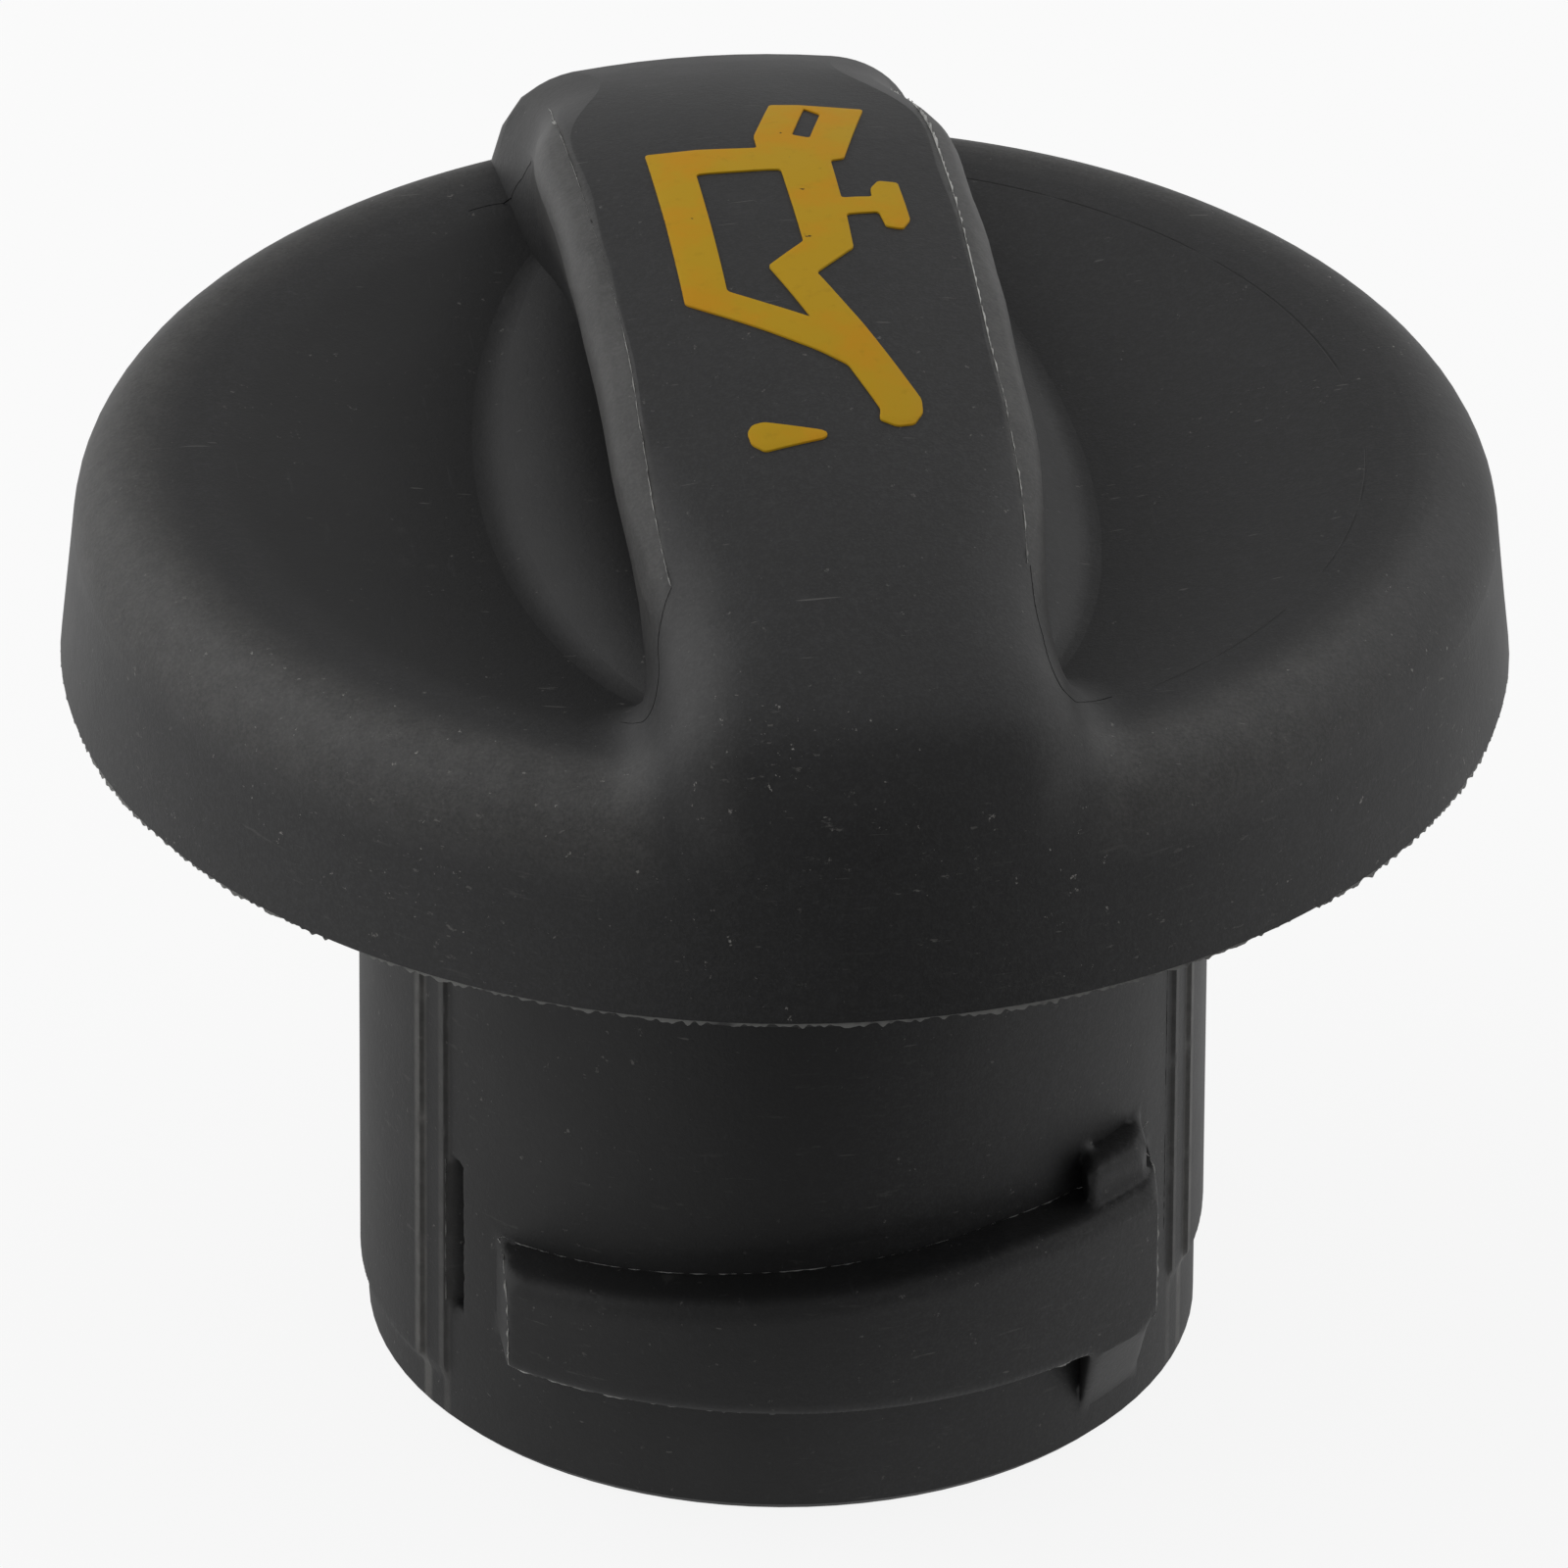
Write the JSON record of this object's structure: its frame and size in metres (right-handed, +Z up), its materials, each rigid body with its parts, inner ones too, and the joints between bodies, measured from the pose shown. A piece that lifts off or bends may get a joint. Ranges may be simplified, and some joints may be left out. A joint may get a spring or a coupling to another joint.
{
  "type": "oil filler cap",
  "caption": "Round moulded plastic oil filler cap with an arched bar grip across a dished disc, and a bayonet spigot below with ramped lugs and a rubber seal ring.",
  "frame": {"origin": "centre of the spigot's foot, on the surface that the cap stands on", "axes": "+Z up the cap's axis, Y along the bar grip"},
  "size_m": [0.066, 0.066, 0.0558],
  "materials": {
    "black_nylon": "matte",
    "seal_rubber": "matte",
    "sign_paint": "satin"
  },
  "bodies": {
    "root": {"cap_body": "black_nylon", "seal_ring": "seal_rubber"}
  },
  "joints": []
}
